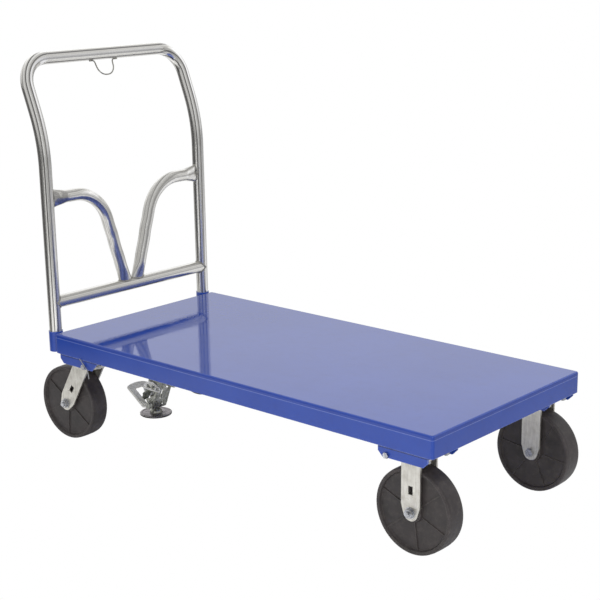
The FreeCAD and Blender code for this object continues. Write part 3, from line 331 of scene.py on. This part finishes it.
UP, ACROSS = (0, 0, 1), (0, 1, 0)
CROSSBAR_BEAD, BRACE_BEAD, SOCKET_BEAD, STITCH_BEAD = 0.0024, 0.0022, 0.0021, 0.002  # radii
BEAD_SIDES = 10
BEAD_STEP = 0.0006
RIPPLE_PITCH, RIPPLE_DEPTH = 0.0024, 0.13
WAVES = ((0.10, 410, 1.3), (0.06, 937, 0.0))  # slower unevenness: depth, radians per metre, phase
END_SIZE, END_GROWTH = 0.35, 6  # an open bead starts this small, and grows this fast over its length
SEAM_TOLERANCE = 0.0004
LOOP_SECTORS = 28
SOCKET_BEAD_SPREAD = 0.0095  # each side of the socket's middle
SOCKET_BEAD_PROUD = 0.0008  # out from the end skirt
SOCKET_BEAD_ENDS = (0.002, 0.0095)  # kept clear at the socket's foot and rim
INNER_FLANGE_EDGE, OUTER_FLANGE_EDGE = 0.0655, 0.1545  # of each stiffener, from the middle of the deck
FLANGE_DROP = 0.003
STITCH_OFFSET, STITCH_LENGTH, STITCH_MARGIN, STITCH_COUNT = 0.0012, 0.03, 0.05, 6


def mesh_object(name, vertices, faces, material=None, smooth=False):
    mesh = bpy.data.meshes.new(name)
    mesh.from_pydata([tuple(v) for v in vertices], [], faces)
    mesh.update()
    made = bpy.data.objects.new(name, mesh)
    scene.collection.objects.link(made)
    if material:
        mesh.materials.append(material)
    if smooth:
        mesh.shade_smooth()
    return made


def resample(points, step, closed):
    """Points at an even step along a run of straight pieces."""
    if closed:
        points = points + points[:1]
    made = []
    for start, end in zip(points, points[1:]):
        count = max(1, round((end - start).length / step))
        made += [start.lerp(end, i / count) for i in range(count)]
    return made if closed else made + [points[-1]]


def smoothed(points, closed, rounds=3):
    for _ in range(rounds):
        count = len(points)
        before = [points[i - 1] if closed or i else points[0] for i in range(count)]
        after = [points[(i + 1) % count] if closed or i < count - 1 else points[-1] for i in range(count)]
        points = [(a + 2 * p + b) / 4 for a, p, b in zip(before, points, after)]
    return points


def bead_rings(points, radius, closed):
    """Vertices and faces of one rippled bead along points."""
    sides = BEAD_SIDES
    count = len(points)
    vertices, faces = [], []
    frame_axis = None
    travelled = 0.0
    for i, point in enumerate(points):
        ahead = points[(i + 1) % count] if closed or i < count - 1 else point
        behind = points[i - 1] if closed or i else point
        tangent = (ahead - behind).normalized()
        if frame_axis is None:
            frame_axis = tangent.orthogonal()
        frame_axis = (frame_axis - tangent * frame_axis.dot(tangent)).normalized()
        other = tangent.cross(frame_axis)
        ripple = 1 + RIPPLE_DEPTH * math.sin(2 * math.pi * travelled / RIPPLE_PITCH)
        ripple += sum(depth * math.sin(travelled * rate + phase) for depth, rate, phase in WAVES)
        if not closed:
            ripple *= min(1.0, END_SIZE + END_GROWTH * min(i, count - 1 - i) / count)
        for k in range(sides):
            angle = 2 * math.pi * k / sides
            outward = frame_axis * math.cos(angle) + other * math.sin(angle)
            vertices.append(point + radius * ripple * outward)
        travelled += (ahead - point).length
    for i in range(count if closed else count - 1):
        for k in range(sides):
            a, b = i * sides, (i + 1) % count * sides
            faces.append((a + k, a + (k + 1) % sides, b + (k + 1) % sides, b + k))
    if not closed:
        faces += [tuple(range(sides))[::-1], tuple(range((count - 1) * sides, count * sides))]
    return vertices, faces


def weld(name, runs, radius, body, slot, closed=False):
    """One piece made of a bead along each run of points."""
    vertices, faces = [], []
    for run in runs:
        points = smoothed(resample(run, BEAD_STEP, closed), closed)
        ring_vertices, ring_faces = bead_rings(points, radius, closed)
        faces += [tuple(v + len(vertices) for v in face) for face in ring_faces]
        vertices += ring_vertices
    bead = mesh_object(name, vertices, faces, MATERIALS[slot], smooth=True)
    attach(bead, body)
    return bead


def make_handle_welds():
    """Beads where the crossbar meets the uprights, and where the braces meet both."""
    bar_low, bar_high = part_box("handle_crossbar")
    tube_low, tube_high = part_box("handle_tube")
    radius = (bar_high.z - bar_low.z) / 2
    bar_axis = Vector(((bar_low.x + bar_high.x) / 2, 0, (bar_low.z + bar_high.z) / 2))
    for name, side in SIDES.items():
        edge = tube_high.y if side > 0 else tube_low.y
        upright = Vector((bar_axis.x, edge - side * radius, 0))
        seam = seam_points("handle_crossbar", upright, UP, radius)
        on_side = [p for p in seam if p.y * side > 0]
        weld("crossbar_weld_" + name, [loop_of(on_side, upright, UP)], CROSSBAR_BEAD, "handle",
             "zinc_wire", closed=True)
        for end, (through, axis) in {"top": (upright, UP), "foot": (bar_axis, ACROSS)}.items():
            found = seam_points("brace_" + name, through, axis, radius)
            weld(f"brace_{end}_weld_{name}", [loop_of(found, through, axis)], BRACE_BEAD, "handle",
                 "zinc_wire", closed=True)


def seam_points(node, through, axis, radius):
    """The node's vertices that lie on a cylinder round axis."""
    axis = Vector(axis)
    found = []
    for vertex in nodes[node].data.vertices:
        offset = vertex.co - through
        offset -= axis * offset.dot(axis)
        if abs(offset.length - radius) < SEAM_TOLERANCE:
            found.append(vertex.co.copy())
    return found


def loop_of(points, through, axis):
    """Outermost of the points in each direction from their centre, in order round it."""
    axis = Vector(axis)
    center = sum(points, Vector()) / len(points)
    outward = center - through
    outward = (outward - axis * outward.dot(axis)).normalized()
    side = axis.cross(outward)
    sectors = {}
    for point in points:
        u, v = (point - center).dot(axis), (point - center).dot(side)
        sector = round(math.atan2(v, u) / (2 * math.pi) * LOOP_SECTORS) % LOOP_SECTORS
        if sector not in sectors or math.hypot(u, v) > sectors[sector][0]:
            sectors[sector] = (math.hypot(u, v), point)
    return [sectors[key][1] for key in sorted(sectors)]


def make_frame_welds():
    """Beads beside the sockets' lands, and stitches along both edges of each stiffener."""
    for name in SIDES:
        low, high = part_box("handle_socket_" + name)
        x, y = deck_low.x - SOCKET_BEAD_PROUD, (low.y + high.y) / 2
        bottom, top = low.z + SOCKET_BEAD_ENDS[0], high.z - SOCKET_BEAD_ENDS[1]
        runs = [[Vector((x, y + offset, bottom)), Vector((x, y + offset, top))]
                for offset in (-SOCKET_BEAD_SPREAD, SOCKET_BEAD_SPREAD)]
        weld("socket_weld_" + name, runs, SOCKET_BEAD, "chassis", "blue_enamel")
    low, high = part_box("deck_stiffeners")
    flange = high.z - FLANGE_DROP
    room = high.x - low.x - 2 * STITCH_MARGIN - STITCH_LENGTH
    runs = []
    for side in SIDES.values():
        for line in (INNER_FLANGE_EDGE - STITCH_OFFSET, OUTER_FLANGE_EDGE + STITCH_OFFSET):
            for i in range(STITCH_COUNT):
                x, y = low.x + STITCH_MARGIN + i * room / (STITCH_COUNT - 1), side * line
                runs.append([Vector((x, y, flange)), Vector((x + STITCH_LENGTH, y, flange))])
    weld("stiffener_stitches", runs, STITCH_BEAD, "chassis", "blue_enamel")


make_handle_welds()
make_frame_welds()


# ---------------------------------------------------------------- camera, floor and light

CAMERA_AT = Vector((2.26213, -2.47385, 1.29433))
CAMERA_YAW, CAMERA_PITCH, CAMERA_ROLL = (math.radians(a) for a in (41.660, 15.735, -0.759))
CAMERA_LENS, CAMERA_SENSOR = 82.16, 36.0
CAMERA_SHIFT = (-0.0130, 0.0495)


def make_camera():
    data = bpy.data.cameras.new("camera")
    camera = bpy.data.objects.new("camera", data)
    scene.collection.objects.link(camera)
    data.sensor_width = CAMERA_SENSOR
    data.lens = CAMERA_LENS
    data.shift_x, data.shift_y = CAMERA_SHIFT
    forward = Vector((-math.sin(CAMERA_YAW) * math.cos(CAMERA_PITCH),
                      math.cos(CAMERA_YAW) * math.cos(CAMERA_PITCH), -math.sin(CAMERA_PITCH)))
    right = Vector((math.cos(CAMERA_YAW), math.sin(CAMERA_YAW), 0))
    up = right.cross(forward)
    c, s = math.cos(CAMERA_ROLL), math.sin(CAMERA_ROLL)
    right, up = c * right + s * up, c * up - s * right
    camera.matrix_world = Matrix((
        (right.x, up.x, -forward.x, CAMERA_AT.x), (right.y, up.y, -forward.y, CAMERA_AT.y),
        (right.z, up.z, -forward.z, CAMERA_AT.z), (0, 0, 0, 1)))
    scene.camera = camera


BACKWARD = (-0.665, 0.747, 0.0)  # level direction away from the camera
WHITE = (1.0, 1.0, 1.0, 1.0)

# What the floor bounces, by zones: where each starts and ends, and its level at each end.
FLOOR_NEAR = (1.6, 2.5, 0.36, 1.0)  # by distance from the camera's place
FLOOR_LEFT = (-1.7, -1.0, 0.1, 1.0)  # beyond the handle's end, on a slant
FLOOR_SLANT = 0.35
FLOOR_FRONT = (-0.5, -0.9, 0.0, 1.0)  # the left zone shows only out in front of the near side
FLOOR_RIGHT = (0.75, 1.3, 0.93, 0.48)  # beyond the free end
FLOOR_HALF = 150.0

# Light of the surroundings by height, from the horizon to overhead.
SWEEP = ((0.0, 0.82), (0.22, 1.02), (0.34, 1.28), (0.46, 1.2), (0.58, 1.0), (0.72, 0.8), (1.0, 0.7))
DIM = ((0.0, 0.55), (0.5, 0.55), (1.0, 0.6))

# Place, point aimed at, size and power of each lamp.
LIGHTS = {
    "overhead": ((0.2, 0.0, 3.4), (0, 0, 0), (4.6, 3.4), 38),
    "front": ((3.0, -3.3, 1.7), (0, 0, 0.3), (4.4, 2.2), 146),
}


def make_floor():
    """Plain white to the camera; what it bounces to the object is an uneven grey in soft zones."""
    g = Finish("floor_paper", Specular_IOR_Level=0.1)
    x, y = g.position("X"), g.position("Y")
    dx, dy = g.math("SUBTRACT", x, CAMERA_AT.x), g.math("SUBTRACT", y, CAMERA_AT.y)
    reach = g.math("SQRT", g.math("ADD", g.math("MULTIPLY", dx, dx), g.math("MULTIPLY", dy, dy)))
    near = g.span(reach, *FLOOR_NEAR)
    left = g.span(g.math("ADD", x, g.math("MULTIPLY", y, FLOOR_SLANT)), *FLOOR_LEFT)
    front = g.span(y, *FLOOR_FRONT)
    left = g.math("ADD", g.math("MULTIPLY", front, left), g.math("SUBTRACT", 1.0, front))
    right = g.span(x, *FLOOR_RIGHT)
    level = g.math("MULTIPLY", g.math("MULTIPLY", near, left), right)
    g.color(g.mix(level, (0, 0, 0, 1), WHITE))
    g.roughness(0.9)
    glow = g.add("Emission", {"Color": WHITE, "Strength": 1.0})
    seen = g.add("LightPath").outputs["Is Camera Ray"]
    output = next(n for n in g.tree.nodes if n.type == "OUTPUT_MATERIAL")
    g.feed(output.inputs[0], g.add("MixShader", {0: seen, 1: g.shader.outputs[0], 2: glow}))
    r = FLOOR_HALF
    corners = [(-r, -r, 0), (r, -r, 0), (r, r, 0), (-r, r, 0)]
    floor = mesh_object("floor", corners, [(0, 1, 2, 3)], g.material)


def make_light(name, place, aim, size, power):
    data = bpy.data.lights.new(name, "AREA")
    data.shape = "RECTANGLE"
    data.size, data.size_y = size
    data.energy = power
    light = bpy.data.objects.new(name, data)
    scene.collection.objects.link(light)
    light.location = place
    light.visible_glossy = False
    light.rotation_mode = "QUATERNION"
    light.rotation_quaternion = (Vector(aim) - Vector(place)).to_track_quat("-Z", "Y")


def make_world():
    """White to the camera; the light is brightest a third of the way up, behind the object."""
    world = bpy.data.worlds.new("studio")
    world.use_nodes = True
    scene.world = world
    g = Graph(world.node_tree)
    background = next(n for n in g.tree.nodes if n.type == "BACKGROUND")
    direction = g.add("TexCoord").outputs["Generated"]
    rise = g.add("SeparateXYZ", {0: direction}).outputs[2]
    behind = g.add("VectorMath", {0: direction, 1: BACKWARD}, operation="DOT_PRODUCT").outputs["Value"]
    sweep = g.ramp(rise, *SWEEP)
    dim = g.ramp(rise, *DIM)
    share = g.span(behind, -0.1, 0.45)
    level = g.math("ADD", g.math("MULTIPLY", share, sweep),
                   g.math("MULTIPLY", g.math("SUBTRACT", 1.0, share), dim))
    seen = g.add("LightPath").outputs["Is Camera Ray"]
    level = g.math("ADD", g.math("MULTIPLY", level, g.math("SUBTRACT", 1.0, seen)), seen)
    background.inputs[0].default_value = WHITE
    g.feed(background.inputs[1], level)


make_camera()
make_floor()
make_world()
for lamp, settings in LIGHTS.items():
    make_light(lamp, *settings)
scene.view_settings.view_transform = "Standard"
scene.view_settings.look = "None"
